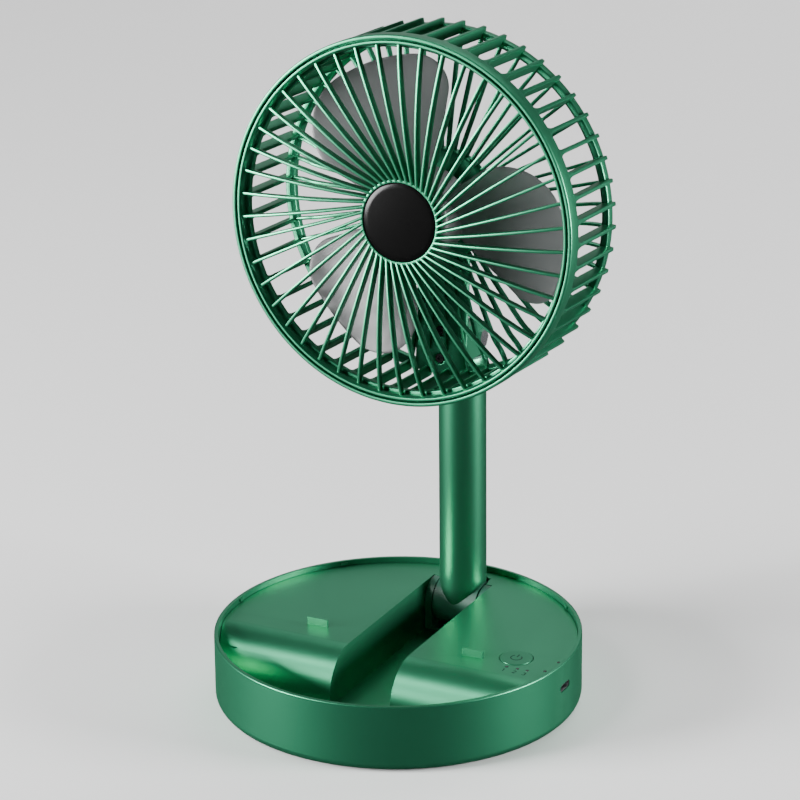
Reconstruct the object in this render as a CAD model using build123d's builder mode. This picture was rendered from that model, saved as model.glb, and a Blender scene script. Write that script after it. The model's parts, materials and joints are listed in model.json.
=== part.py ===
"""Folding desk fan: round battery base, hinged column, caged head and three-blade impeller.

Millimetres, +Z up. The origin is the middle of the base's underside; the front is -Y.
"""
import os
from math import asin, degrees, hypot

from build123d import *

os.makedirs("parts", exist_ok=True)

# --- driving dimensions: base ---------------------------------------------------------------
BASE_R = 82.5
BASE_WALL = 1.8
RIM_TOP = 31.5
SHELL_BOTTOM = 0.8
SHELL_FLOOR = 2.8
SHELL_EDGE_R = 3.5
NUB_COUNT = 8
NUB_REACH_R = 79.9
DECK_R = BASE_R - BASE_WALL - 0.3
DECK_TOP = 29.0
DECK_SKIN = 2.0
DECK_BOTTOM = 3.1
TRENCH_FLOOR = 5.6
ROLL_R = 19.0
ROLL_Y = -19.0
SLOT_HALF = 15.0
SLOT_FRONT = -40.0
WELL_R = 11.8
TAB_PLACES = [(-36.5, -7.8), (41.0, -7.8)]
TAB_SIZE = (10.0, 1.2, 3.5)
BUTTON_AT = (59.1, -1.1)
BUTTON_R = 7.4
BUTTON_PROUD = 0.25
LIGHT_PLACES = [(59.1, -11.0), (64.3, -11.0), (69.0, -11.0), (76.2, -8.1), (77.8, 2.9)]
LIGHT_R = 0.8
BOSS_PLACES = [(64.0, 38.0), (-64.0, 38.0), (66.0, -30.0), (-66.0, -30.0), (24.0, 66.0), (-24.0, 66.0)]
BOSS_R = 3.5
FLOOR_POCKET = 1.9
FLOOR_HEAD = 0.9
FLOOR_HEAD_R = 2.7
FLOOR_SCREW_LENGTH = 10.0
SCREW_R = 1.25
CROSS_SLOT = (2.6, 0.6)
POST_PLACES = [(30.0, -17.0), (30.0, 19.0), (67.0, 19.0), (67.0, -17.0)]
FOOT_PITCH_R = 62.0
FOOT_R = 7.0

# --- driving dimensions: electrics in the base -----------------------------------------------
BOARD_TOP = 18.2
BOARD_THICK = 1.6
BOARD_AT = (48.0, 1.0)
BOARD_SIZE = (46.0, 44.0)
CHIP_PLACES = [(38.0, 4.0), (36.0, -8.0)]
CHIP_SIZE = (6.0, 6.0, 1.4)
USB_Y = -0.25
USB_Z = 19.85
USB_WIDTH = 9.0
USB_HEIGHT = 3.2
USB_BACK = 71.5
USB_DEPTH = 7.0
CELL_R = 9.2
CELL_LENGTH = 65.0
CELL_CAP = 1.5
CELL_X = (-29.0, -48.5)
CELL_Y = 17.5
CELL_Z = 13.0

# --- driving dimensions: hinges and column ---------------------------------------------------
HINGE_Y = 66.5
HINGE_Z = 18.3
PIN_R = 2.5
PIN_FIT = 0.05
WASHER_R = 5.0
BARREL_R = 10.9
BARREL_HALF = 10.6
CHEEK_IN = 11.3
CHEEK_OUT = 14.8
CHEEK_R = 10.5
BRACKET_TOP = 7.0
BRACKET_HOLES = [(x, y) for x in (6.5, -6.5) for y in (59.0, 74.0)]
TUBE_R = 10.9
TUBE_BORE_R = 9.4
TUBE_TOP = 141.0
CAP_TOP = 142.2
SPIGOT_R = TUBE_BORE_R - 0.1
LOWER_SPIGOT = 34.0
UPPER_SPIGOT = 20.0
GRUB_HEIGHTS = (44.0, 132.0)
NECK_R = 8.0
TONGUE_HALF = 6.0
EAR_IN = 6.65
EAR_OUT = 10.4

# --- driving dimensions: head, in its own plane (x right, y up, z towards the front) -----------
HEAD = Plane(origin=(0, 3.66, 221.0), x_dir=(1, 0, 0), z_dir=(0, -0.99755, 0.0699))
HEAD_SIDE = Plane(origin=HEAD.origin, x_dir=HEAD.x_dir, z_dir=-HEAD.y_dir)
HEAD_CUT = Plane(origin=HEAD.origin, x_dir=HEAD.y_dir, z_dir=HEAD.x_dir)
HEAD_AXIS = Axis(HEAD.origin, HEAD.z_dir)
RING_R = 82.0
RING_INNER_R = 80.3
BAND_BACK = -8.0
LEDGE_Z = -4.6
FIN_COUNT = 50
FIN_TURN = -0.6
FIN_THICK = 2.0
FIN_IN_R = 76.5
LEDGE_R = 76.0
FIN_OUT_R = 81.8
FIN_BACK = -48.1
REAR_Z = -49.6
REAR_RING_R = 79.45
REAR_RING_IN = 75.5
REAR_RING_FRONT = -44.6
HUB_PLATE_R = 25.0
HUB_PLATE_FRONT = -40.5
HUB_PLATE_BACK = -43.5
FAIRING_HALF = 12.8
FAIRING_SET_IN = 2.2
FAIRING_THICK = 3.2
GUARD_R = 79.4
GUARD_IN_R = 77.4
SPOKE_COUNT = 46
SPOKE_TURN = 3.9
SPOKE_OFFSET = 8.0
SPOKE_WIDTH = 1.3
HUB_RING_R = 19.0
HUB_RING_FRONT = -0.8
HUB_RING_BACK = -5.4
DISH_FLOOR = -2.7
DISH_BACK = -4.4
BADGE_R = 17.5
NECK_DROP = -65.9
NECK_BACK = -64.65
SCREW_DROPS = (-59.1, -72.0)
NECK_Y = HEAD.from_local_coords((0, NECK_DROP, NECK_BACK)).Y
NECK_Z = HEAD.from_local_coords((0, NECK_DROP, NECK_BACK)).Z

# --- driving dimensions: impeller and motor, in the head's plane --------------------------------
BLADE_TURNS = (-5.0, 115.0, 235.0)
BLADE_TIP_R = 69.2
BLADE_LEAD = -33.0
BLADE_TRAIL = 42.0
BLADE_LEAD_ROUND = 14.0
BLADE_TRAIL_ROUND = 23.5
BLADE_MID_Z = -22.5
BLADE_PITCH = 19.0
BLADE_THICK = 1.8
ROTOR_R = 19.2
ROTOR_WALL = 2.0
ROTOR_FRONT = -8.0
ROTOR_BACK = -32.0
SHAFT_R = 1.5
TUBE_OUT_R = 5.0
BEARING_R = 3.55
BEARING_THICK = 2.5
BEARING_FRONTS = (-13.0, -33.0)
STATOR_R = 14.0
STATOR_TEETH = 9
STATOR_FRONT = -16.0
STATOR_BACK = -29.0
STATOR_HUB_R = 8.0
TOOTH_WIDTH = 1.8
MOTOR_SCREW_PITCH_R = 11.0
MOTOR_SCREW_COUNT = 3


def x_plane(offset):
    """Plane at x = offset whose sketch axes are the model's Y and Z."""
    return Plane.YZ.offset(offset)


# ================================ base ========================================================

# Outer shell: a shallow tub with a rounded foot and a row of catch nubs inside the rim.
with BuildPart() as base_shell:
    with BuildSketch(Plane.XY.offset(SHELL_BOTTOM)):
        Circle(BASE_R)
    extrude(amount=RIM_TOP - SHELL_BOTTOM)
    fillet(base_shell.edges().group_by(Axis.Z)[0], SHELL_EDGE_R)
    fillet(base_shell.edges().group_by(Axis.Z)[-1], 0.5)
    with BuildSketch(Plane.XY.offset(SHELL_FLOOR)):
        Circle(BASE_R - BASE_WALL)
    extrude(amount=RIM_TOP, mode=Mode.SUBTRACT)
    with BuildSketch(Plane.XY.offset(RIM_TOP - 1.9)):
        with PolarLocations((NUB_REACH_R + BASE_R - 1.0) / 2, NUB_COUNT):
            Rectangle(BASE_R - 1.0 - NUB_REACH_R, 3.0)
    extrude(amount=1.2)
    with BuildSketch(Plane.YZ.offset(BASE_R - 4.0)):
        with Locations((USB_Y, USB_Z)):
            SlotOverall(USB_WIDTH + 0.5, USB_HEIGHT + 0.5)
    extrude(amount=6.0, mode=Mode.SUBTRACT)
    with BuildSketch(Plane.XY):
        with Locations(*BOSS_PLACES):
            Circle(1.6)
    extrude(amount=RIM_TOP / 2, mode=Mode.SUBTRACT)
    with BuildSketch(Plane.XY):
        with Locations(*BOSS_PLACES):
            Circle(3.0)
        with PolarLocations(FOOT_PITCH_R, 4, start_angle=45):
            Circle(FOOT_R + 0.2)
    extrude(amount=FLOOR_POCKET, mode=Mode.SUBTRACT)
base_shell.part.label = "base_shell"
export_step(base_shell.part, "parts/base_shell.step")

# Four rubber feet set into the floor's pockets.
with BuildPart() as foot_pads:
    with BuildSketch(Plane.XY):
        with PolarLocations(FOOT_PITCH_R, 4, start_angle=45):
            Circle(FOOT_R)
    extrude(amount=FLOOR_POCKET - 0.05)
    fillet(foot_pads.edges().group_by(Axis.Z)[0], 0.4)
foot_pads.part.label = "foot_pads"
export_step(foot_pads.part, "parts/foot_pads.step")

# Deck: top plate that rolls down into the front trench, with the column's slot cut through it.
with BuildPart() as deck:
    with BuildSketch(Plane.XY.offset(DECK_BOTTOM)):
        Circle(DECK_R)
    extrude(amount=DECK_TOP - DECK_BOTTOM)
    with BuildSketch(x_plane(-BASE_R)):
        with BuildLine():
            roll = CenterArc((ROLL_Y, DECK_TOP - ROLL_R), ROLL_R, 90, 90)
            Polyline(
                roll @ 1,
                (ROLL_Y - ROLL_R, TRENCH_FLOOR),
                (-BASE_R, TRENCH_FLOOR),
                (-BASE_R, RIM_TOP),
                (ROLL_Y, RIM_TOP),
                roll @ 0,
            )
        make_face()
    extrude(amount=2 * BASE_R, mode=Mode.SUBTRACT)
    for side in (1, -1):
        with BuildSketch(x_plane(side * (SLOT_HALF + DECK_SKIN))):
            with BuildLine():
                inner_roll = CenterArc((ROLL_Y, DECK_TOP - ROLL_R), ROLL_R - DECK_SKIN, 90, 90)
                Polyline(
                    inner_roll @ 1,
                    (ROLL_Y - ROLL_R + DECK_SKIN, 0),
                    (BASE_R, 0),
                    (BASE_R, DECK_TOP - DECK_SKIN),
                    inner_roll @ 0,
                )
            make_face()
        extrude(amount=side * BASE_R, mode=Mode.SUBTRACT)
    with BuildSketch(Plane.XY.offset(TRENCH_FLOOR)):
        with Locations((0, (HINGE_Y + SLOT_FRONT) / 2)):
            Rectangle(2 * SLOT_HALF, HINGE_Y - SLOT_FRONT)
        with Locations((0, HINGE_Y)):
            Circle(WELL_R)
            Rectangle(2 * BARREL_HALF + 0.8, 14.2)
    extrude(amount=RIM_TOP, mode=Mode.SUBTRACT)
    with BuildSketch(Plane.XY.offset(TRENCH_FLOOR)):
        with Locations((0, HINGE_Y)):
            Rectangle(2 * SLOT_HALF, 22.6)
    extrude(amount=DECK_TOP - DECK_SKIN - TRENCH_FLOOR, mode=Mode.SUBTRACT)
    with BuildSketch(Plane.XY.offset(DECK_TOP - 3 * DECK_SKIN)):
        with Locations(*BOSS_PLACES):
            Circle(BOSS_R)
    extrude(amount=DECK_BOTTOM - (DECK_TOP - 3 * DECK_SKIN))
    with BuildSketch(Plane.XY.offset(DECK_TOP - DECK_SKIN)):
        with Locations(BOSS_PLACES[0], BOSS_PLACES[1], BOSS_PLACES[4], BOSS_PLACES[5]):
            Circle(BOSS_R)
        with Locations(*POST_PLACES):
            Circle(2.5)
    extrude(amount=BOARD_TOP + 0.05 - (DECK_TOP - DECK_SKIN))
    with BuildSketch(Plane.XY.offset(DECK_BOTTOM)):
        with Locations(*BOSS_PLACES):
            Circle(SCREW_R + 0.05)
    extrude(amount=FLOOR_SCREW_LENGTH + 1.0, mode=Mode.SUBTRACT)
    with BuildSketch(Plane.XY.offset(BOARD_TOP)):
        with Locations(*POST_PLACES):
            Circle(0.95)
    extrude(amount=6.0, mode=Mode.SUBTRACT)
    with BuildSketch(Plane.XY.offset(DECK_TOP)):
        with Locations(*TAB_PLACES):
            Rectangle(TAB_SIZE[0], TAB_SIZE[1])
    extrude(amount=TAB_SIZE[2])
    with BuildSketch(Plane.XY.offset(DECK_TOP)):
        with Locations(BUTTON_AT):
            Circle(BUTTON_R + 0.3)
        with Locations(*LIGHT_PLACES):
            Circle(LIGHT_R + 0.05)
    extrude(amount=-2 * DECK_SKIN, mode=Mode.SUBTRACT)
    with BuildSketch(Plane.XY):
        with Locations(*BRACKET_HOLES):
            Circle(1.25)
    extrude(amount=TRENCH_FLOOR, mode=Mode.SUBTRACT)
deck.part.label = "deck"
export_step(deck.part, "parts/deck.step")

# Six self-tapping screws, driven up through the floor into the deck's bosses.
with BuildPart() as base_screws:
    with BuildSketch(Plane.XY.offset(FLOOR_POCKET - FLOOR_HEAD - 0.05)):
        with Locations(*BOSS_PLACES):
            Circle(FLOOR_HEAD_R)
    extrude(amount=FLOOR_HEAD)
    with BuildSketch(Plane.XY.offset(FLOOR_POCKET - 0.05)):
        with Locations(*BOSS_PLACES):
            Circle(SCREW_R)
    extrude(amount=FLOOR_SCREW_LENGTH)
    with BuildSketch(Plane.XY.offset(FLOOR_POCKET - FLOOR_HEAD - 0.05)):
        with Locations(*BOSS_PLACES):
            Rectangle(CROSS_SLOT[0], CROSS_SLOT[1])
            Rectangle(CROSS_SLOT[1], CROSS_SLOT[0])
    extrude(amount=FLOOR_HEAD / 2, mode=Mode.SUBTRACT)
base_screws.part.label = "base_screws"
export_step(base_screws.part, "parts/base_screws.step")

# U-shaped hinge bracket: a floor plate and two round-topped cheeks beside the knuckle.
with BuildPart() as hinge_bracket:
    with BuildSketch(Plane.XY.offset(TRENCH_FLOOR + 0.05)):
        with Locations((0, HINGE_Y)):
            Rectangle(2 * CHEEK_OUT, 2 * CHEEK_R)
    extrude(amount=BRACKET_TOP - TRENCH_FLOOR - 0.05)
    with BuildSketch(x_plane(-CHEEK_OUT)):
        with Locations((HINGE_Y, HINGE_Z)):
            Circle(CHEEK_R)
        with Locations((HINGE_Y, (HINGE_Z + TRENCH_FLOOR + 0.05) / 2)):
            Rectangle(2 * CHEEK_R, HINGE_Z - TRENCH_FLOOR - 0.05)
        with Locations((HINGE_Y + CHEEK_R, DECK_TOP)):
            Rectangle(2 * CHEEK_R + 0.6, 2 * DECK_SKIN + 0.4, mode=Mode.SUBTRACT)
    extrude(amount=2 * CHEEK_OUT)
    with BuildSketch(Plane.XY.offset(BRACKET_TOP)):
        with Locations((0, HINGE_Y)):
            Rectangle(2 * CHEEK_IN, 4 * CHEEK_R)
    extrude(amount=RIM_TOP, mode=Mode.SUBTRACT)
    with BuildSketch(x_plane(-CHEEK_OUT)):
        with Locations((HINGE_Y, HINGE_Z)):
            Circle(PIN_R + 0.02)
    extrude(amount=2 * CHEEK_OUT, mode=Mode.SUBTRACT)
    with Locations(*[(x, y, BRACKET_TOP) for x, y in BRACKET_HOLES]):
        CounterSinkHole(1.25, 2.4, depth=4.0)
hinge_bracket.part.label = "hinge_bracket"
export_step(hinge_bracket.part, "parts/hinge_bracket.step")

# Countersunk screws that hold the bracket to the slot's floor.
with BuildPart() as bracket_bolts:
    with BuildSketch(Plane.XY.offset(BRACKET_TOP - 0.1)):
        with Locations(*BRACKET_HOLES):
            Circle(2.15)
    extrude(amount=-1.05, taper=45)
    with BuildSketch(Plane.XY.offset(BRACKET_TOP - 0.6)):
        with Locations(*BRACKET_HOLES):
            Circle(1.2)
    extrude(amount=DECK_BOTTOM + 0.2 - (BRACKET_TOP - 0.6))
bracket_bolts.part.label = "bracket_bolts"
export_step(bracket_bolts.part, "parts/bracket_bolts.step")

# Hinge pin across the cheeks.
with BuildPart() as hinge_pin:
    with BuildSketch(x_plane(-CHEEK_OUT + 0.1)):
        with Locations((HINGE_Y, HINGE_Z)):
            Circle(PIN_R)
    extrude(amount=2 * CHEEK_OUT - 0.2)
    chamfer(hinge_pin.edges(), 0.4)
hinge_pin.part.label = "hinge_pin"
export_step(hinge_pin.part, "parts/hinge_pin.step")

# Friction washers between knuckle and cheeks.
with BuildPart() as hinge_washers:
    for inner_face in (BARREL_HALF + 0.05, -CHEEK_IN + 0.05):
        with BuildSketch(x_plane(inner_face)):
            with Locations((HINGE_Y, HINGE_Z)):
                Circle(WASHER_R)
                Circle(PIN_R + 0.1, mode=Mode.SUBTRACT)
        extrude(amount=CHEEK_IN - BARREL_HALF - 0.1)
hinge_washers.part.label = "hinge_washers"
export_step(hinge_washers.part, "parts/hinge_washers.step")

# Two cylindrical cells, each with its contact cap.
with BuildPart() as battery_cells:
    with BuildSketch(Plane.XZ.offset(-CELL_Y - CELL_LENGTH / 2)):
        with Locations(*[(x, CELL_Z) for x in CELL_X]):
            Circle(CELL_R)
    extrude(amount=CELL_LENGTH - CELL_CAP)
    with BuildSketch(Plane.XZ.offset(-CELL_Y + CELL_LENGTH / 2 - CELL_CAP)):
        with Locations(*[(x, CELL_Z) for x in CELL_X]):
            Circle(CELL_R / 2)
    extrude(amount=CELL_CAP)
battery_cells.part.label = "battery_cells"
export_step(battery_cells.part, "parts/battery_cells.step")

# Moulded cradle that the cells lie in.
with BuildPart() as battery_cradle:
    with BuildSketch(Plane.XY.offset(SHELL_FLOOR + 0.2)):
        with Locations(((CELL_X[0] + CELL_X[1]) / 2, CELL_Y)):
            Rectangle(CELL_X[0] - CELL_X[1] + 2 * CELL_R + 2.2, CELL_LENGTH + 4.0)
    extrude(amount=7.5)
    with BuildSketch(Plane.XZ.offset(-CELL_Y - CELL_LENGTH / 2 - 0.3)):
        with Locations(*[(x, CELL_Z) for x in CELL_X]):
            Circle(CELL_R + 0.2)
    extrude(amount=CELL_LENGTH + 0.6, mode=Mode.SUBTRACT)
battery_cradle.part.label = "battery_cradle"
export_step(battery_cradle.part, "parts/battery_cradle.step")

# Circuit board under the button, with a tongue that carries the charging socket.
with BuildPart() as main_board:
    with BuildSketch(Plane.XY.offset(BOARD_TOP - BOARD_THICK)):
        with Locations(BOARD_AT):
            Rectangle(BOARD_SIZE[0], BOARD_SIZE[1])
        with Locations((BOARD_AT[0] + 24.0, USB_Y)):
            Rectangle(USB_WIDTH + 4.0, USB_WIDTH + 6.0)
        with Locations(*POST_PLACES):
            Circle(1.1, mode=Mode.SUBTRACT)
    extrude(amount=BOARD_THICK)
    with BuildSketch(Plane.XY.offset(BOARD_TOP)):
        with Locations(*CHIP_PLACES):
            Rectangle(CHIP_SIZE[0], CHIP_SIZE[1])
    extrude(amount=CHIP_SIZE[2])
main_board.part.label = "main_board"
export_step(main_board.part, "parts/main_board.step")

# Screws that hold the board up against the deck's posts.
with BuildPart() as board_screws:
    with BuildSketch(Plane.XY.offset(BOARD_TOP - BOARD_THICK - 0.05)):
        with Locations(*POST_PLACES):
            Circle(2.0)
    extrude(amount=-1.1)
    with BuildSketch(Plane.XY.offset(BOARD_TOP - BOARD_THICK - 0.05)):
        with Locations(*POST_PLACES):
            Circle(0.9)
    extrude(amount=6.0)
board_screws.part.label = "board_screws"
export_step(board_screws.part, "parts/board_screws.step")

# Charging socket: a pressed stadium tube with its contact tongue.
with BuildPart() as usb_socket:
    with BuildSketch(x_plane(USB_BACK)):
        with Locations((USB_Y, USB_Z)):
            SlotOverall(USB_WIDTH, USB_HEIGHT)
    extrude(amount=BASE_R - 0.5 - USB_BACK)
    with BuildSketch(x_plane(BASE_R - 0.5)):
        with Locations((USB_Y, USB_Z)):
            SlotOverall(USB_WIDTH - 0.6, USB_HEIGHT - 0.6)
    extrude(amount=-USB_DEPTH, mode=Mode.SUBTRACT)
    with BuildSketch(x_plane(BASE_R - USB_DEPTH - 1.5)):
        with Locations((USB_Y, USB_Z)):
            Rectangle(USB_WIDTH - 2.4, 0.7)
    extrude(amount=USB_DEPTH - 0.2)
usb_socket.part.label = "usb_socket"
export_step(usb_socket.part, "parts/usb_socket.step")

# Tact switch under the button.
with BuildPart() as tact_switch:
    with BuildSketch(Plane.XY.offset(BOARD_TOP + 0.05)):
        with Locations(BUTTON_AT):
            Rectangle(6.0, 6.0)
    extrude(amount=3.4)
tact_switch.part.label = "tact_switch"
export_step(tact_switch.part, "parts/tact_switch.step")

# Light pipes that show speed and charge through the deck.
with BuildPart() as light_pipes:
    with BuildSketch(Plane.XY.offset(DECK_TOP + 0.1)):
        with Locations(*LIGHT_PLACES):
            Circle(LIGHT_R)
    extrude(amount=-4.0)
light_pipes.part.label = "light_pipes"
export_step(light_pipes.part, "parts/light_pipes.step")

# Power button: a flat cap with a retaining collar under the deck and a short stem.
with BuildPart() as power_button:
    with BuildSketch(Plane.XY.offset(DECK_TOP + BUTTON_PROUD)):
        with Locations(BUTTON_AT):
            Circle(BUTTON_R)
    extrude(amount=-3.0 - BUTTON_PROUD)
    fillet(power_button.edges().group_by(Axis.Z)[-1], 0.2)
    with BuildSketch(Plane.XY.offset(DECK_TOP - DECK_SKIN - 0.15)):
        with Locations(BUTTON_AT):
            Circle(BUTTON_R + 1.4)
    extrude(amount=-1.0)
    with BuildSketch(Plane.XY.offset(DECK_TOP - DECK_SKIN - 1.0)):
        with Locations(BUTTON_AT):
            Circle(1.6)
    extrude(amount=-2.9)
power_button.part.label = "power_button"
export_step(power_button.part, "parts/power_button.step")

# ================================ column ======================================================

# Column tube, cut to a saddle over the hinge barrel.
with BuildPart() as column_tube:
    with BuildSketch(Plane.XY.offset(HINGE_Z)):
        with Locations((0, HINGE_Y)):
            Circle(TUBE_R)
            Circle(TUBE_BORE_R, mode=Mode.SUBTRACT)
    extrude(amount=TUBE_TOP - HINGE_Z)
    with BuildSketch(x_plane(-2 * TUBE_R)):
        with Locations((HINGE_Y, HINGE_Z)):
            Circle(BARREL_R + 0.1)
    extrude(amount=4 * TUBE_R, mode=Mode.SUBTRACT)
    with BuildSketch(Plane.XZ.offset(-HINGE_Y)):
        with Locations(*[(0, height) for height in GRUB_HEIGHTS]):
            Circle(1.3)
    extrude(amount=-2 * TUBE_R, mode=Mode.SUBTRACT)
column_tube.part.label = "column_tube"
export_step(column_tube.part, "parts/column_tube.step")

# Lower knuckle: the hinge barrel and the spigot that plugs the tube.
with BuildPart() as column_knuckle:
    with BuildSketch(x_plane(-BARREL_HALF)):
        with Locations((HINGE_Y, HINGE_Z)):
            Circle(BARREL_R)
    extrude(amount=2 * BARREL_HALF)
    with BuildSketch(Plane.XY.offset(HINGE_Z)):
        with Locations((0, HINGE_Y)):
            Circle(SPIGOT_R)
    extrude(amount=LOWER_SPIGOT)
    with BuildSketch(x_plane(-BARREL_HALF)):
        with Locations((HINGE_Y, HINGE_Z)):
            Circle(PIN_R + PIN_FIT)
    extrude(amount=2 * BARREL_HALF, mode=Mode.SUBTRACT)
column_knuckle.part.label = "column_knuckle"
export_step(column_knuckle.part, "parts/column_knuckle.step")

# Upper knuckle: spigot, cap and the rounded tongue that turns between the head's ears.
with BuildPart() as neck_knuckle:
    with BuildSketch(Plane.XY.offset(TUBE_TOP - UPPER_SPIGOT)):
        with Locations((0, HINGE_Y)):
            Circle(SPIGOT_R)
    extrude(amount=UPPER_SPIGOT + 0.5)
    with BuildSketch(Plane.XY.offset(TUBE_TOP + 0.05)):
        with Locations((0, HINGE_Y)):
            Circle(TUBE_R)
    extrude(amount=CAP_TOP - TUBE_TOP - 0.05)
    with BuildSketch(x_plane(-TONGUE_HALF)):
        with Locations((NECK_Y, NECK_Z)):
            Circle(NECK_R)
        with Locations((NECK_Y + 0.5, (TUBE_TOP + NECK_Z) / 2 + 0.2)):
            Rectangle(2 * NECK_R - 1.0, NECK_Z - TUBE_TOP - 0.4)
    extrude(amount=2 * TONGUE_HALF)
    with BuildSketch(x_plane(-TONGUE_HALF)):
        with Locations((NECK_Y, NECK_Z)):
            Circle(PIN_R + PIN_FIT)
    extrude(amount=2 * TONGUE_HALF, mode=Mode.SUBTRACT)
neck_knuckle.part.label = "neck_knuckle"
export_step(neck_knuckle.part, "parts/neck_knuckle.step")

# Grub screws through the back of the tube, one into each knuckle.
with BuildPart() as tube_screws:
    with BuildSketch(Plane.XZ.offset(-HINGE_Y - TUBE_BORE_R - 0.05)):
        with Locations(*[(0, height) for height in GRUB_HEIGHTS]):
            Circle(1.25)
    extrude(amount=-1.4)
tube_screws.part.label = "tube_screws"
export_step(tube_screws.part, "parts/tube_screws.step")

# ================================ head: guards =================================================

# Rear spokes: flat radial bars, cut to a shallow dish by a turned envelope.
with BuildPart() as rear_spokes:
    with BuildSketch(HEAD.offset(REAR_Z)):
        with PolarLocations((HUB_PLATE_R + FIN_IN_R) / 2, FIN_COUNT, start_angle=FIN_TURN):
            Rectangle(FIN_IN_R - HUB_PLATE_R + 3.0, 1.5)
    extrude(amount=10.0)
    with BuildSketch(HEAD_SIDE):
        with BuildLine():
            Polyline(
                (20.0, -42.4),
                (64.0, -42.4),
                (70.0, -44.4),
                (78.0, -45.4),
                (78.0, -48.8),
                (71.0, -48.4),
                (65.0, -45.6),
                (20.0, -45.6),
                close=True,
            )
        make_face()
    revolve(axis=HEAD_AXIS, mode=Mode.INTERSECT)

# Front band of the rear guard: a ring with an inner ledge that seats the front guard.
with BuildPart() as front_band:
    with BuildSketch(HEAD_SIDE):
        with BuildLine():
            Polyline(
                (RING_INNER_R, -0.3),
                (RING_INNER_R + 0.4, 0),
                (RING_R - 0.5, 0),
                (RING_R, -0.6),
                (RING_R, BAND_BACK),
                (LEDGE_R, BAND_BACK),
                (LEDGE_R, LEDGE_Z),
                (RING_INNER_R, LEDGE_Z),
                close=True,
            )
        make_face()
    revolve(axis=HEAD_AXIS)
front_band.part.label = "front_band"
export_step(front_band.part, "parts/front_band.step")

# Drum ribs: bars along the axis from the band, each notched where it laps the outside of the rear ring.
with BuildPart() as drum_ribs:
    with BuildSketch(HEAD.offset(BAND_BACK)):
        with PolarLocations((FIN_IN_R + FIN_OUT_R) / 2, FIN_COUNT, start_angle=FIN_TURN):
            Rectangle(FIN_OUT_R - FIN_IN_R, FIN_THICK)
    extrude(amount=FIN_BACK - BAND_BACK)
    with BuildSketch(HEAD.offset(REAR_RING_FRONT)):
        Circle(REAR_RING_R)
    extrude(amount=REAR_Z - REAR_RING_FRONT, mode=Mode.SUBTRACT)
drum_ribs.part.label = "drum_ribs"
export_step(drum_ribs.part, "parts/drum_ribs.step")

# Rear grille: rear ring, dished spokes, hub plate and the lower fairing that carries the neck bracket.
with BuildPart() as rear_grille:
    with BuildSketch(HEAD_SIDE):
        with BuildLine():
            Polyline(
                (REAR_RING_IN + 1.4, REAR_RING_FRONT),
                (REAR_RING_R, REAR_RING_FRONT),
                (REAR_RING_R, REAR_Z + 0.5),
                (REAR_RING_R - 0.5, REAR_Z),
                (REAR_RING_IN + 0.4, REAR_Z),
                (REAR_RING_IN, REAR_Z + 0.5),
                (REAR_RING_IN, REAR_RING_FRONT - 1.4),
                close=True,
            )
        make_face()
        with BuildLine():
            Polyline(
                (0, HUB_PLATE_FRONT),
                (HUB_PLATE_R - 1.0, HUB_PLATE_FRONT),
                (HUB_PLATE_R, HUB_PLATE_FRONT - 1.0),
                (HUB_PLATE_R, REAR_Z + 3.2),
                (HUB_PLATE_R - 2.0, REAR_Z + 3.2),
                (HUB_PLATE_R - 2.0, HUB_PLATE_BACK),
                (0, HUB_PLATE_BACK),
                close=True,
            )
        make_face()
    revolve(axis=HEAD_AXIS)
    add(rear_spokes.part)
    with BuildSketch(HEAD.offset(REAR_Z + FAIRING_SET_IN)):
        with Locations((0, -(HUB_PLATE_R + REAR_RING_IN) / 2)):
            Rectangle(2 * FAIRING_HALF, REAR_RING_IN - HUB_PLATE_R + 1.6)
    extrude(amount=FAIRING_THICK)
    with BuildSketch(HEAD.offset(REAR_Z)):
        with Locations((0, -(HUB_PLATE_R + REAR_RING_IN - 1.3) / 2)):
            Rectangle(2 * FAIRING_HALF - 1.6, REAR_RING_IN - HUB_PLATE_R - 0.7)
    extrude(amount=FAIRING_SET_IN, mode=Mode.SUBTRACT)
    with BuildSketch(HEAD.offset(REAR_Z)):
        with Locations(*[(0, drop) for drop in SCREW_DROPS]):
            Circle(1.4)
        with PolarLocations(MOTOR_SCREW_PITCH_R, MOTOR_SCREW_COUNT, start_angle=90):
            Circle(1.2)
    extrude(amount=12.0, mode=Mode.SUBTRACT)
    with BuildSketch(HEAD.offset(REAR_Z + 3.9)):
        with Locations(*[(0, drop) for drop in SCREW_DROPS]):
            Circle(2.1)
    extrude(amount=3.0, mode=Mode.SUBTRACT)
rear_grille.part.label = "rear_grille"
export_step(rear_grille.part, "parts/rear_grille.step")

# Front spokes: straight bars set off from the axis so that they swirl, domed by a turned envelope.
spoke_start = (HUB_RING_R**2 - SPOKE_OFFSET**2) ** 0.5 - 1.0
spoke_end = (GUARD_IN_R**2 - SPOKE_OFFSET**2) ** 0.5 + 1.0
spoke_pitch_r = hypot((spoke_start + spoke_end) / 2, SPOKE_OFFSET)
spoke_lag = degrees(asin(SPOKE_OFFSET / spoke_pitch_r))
with BuildPart() as front_spokes:
    with BuildSketch(HEAD.offset(-7.0)):
        with PolarLocations(spoke_pitch_r, SPOKE_COUNT, start_angle=SPOKE_TURN - spoke_lag):
            Rectangle(spoke_end - spoke_start, SPOKE_WIDTH, rotation=spoke_lag)
    extrude(amount=10.0)
    with BuildSketch(HEAD_SIDE):
        with BuildLine():
            front_edge = Spline((17.0, -1.0), (30.0, 0.6), (50.0, 1.5), (66.0, 1.2), (80.0, -2.0))
            Line(front_edge @ 1, (80.0, -4.2))
            rear_edge = Spline((80.0, -4.2), (66.0, -3.3), (50.0, -3.0), (30.0, -3.9), (17.0, -5.4))
            Line(rear_edge @ 1, front_edge @ 0)
        make_face()
    revolve(axis=HEAD_AXIS, mode=Mode.INTERSECT)

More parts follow.
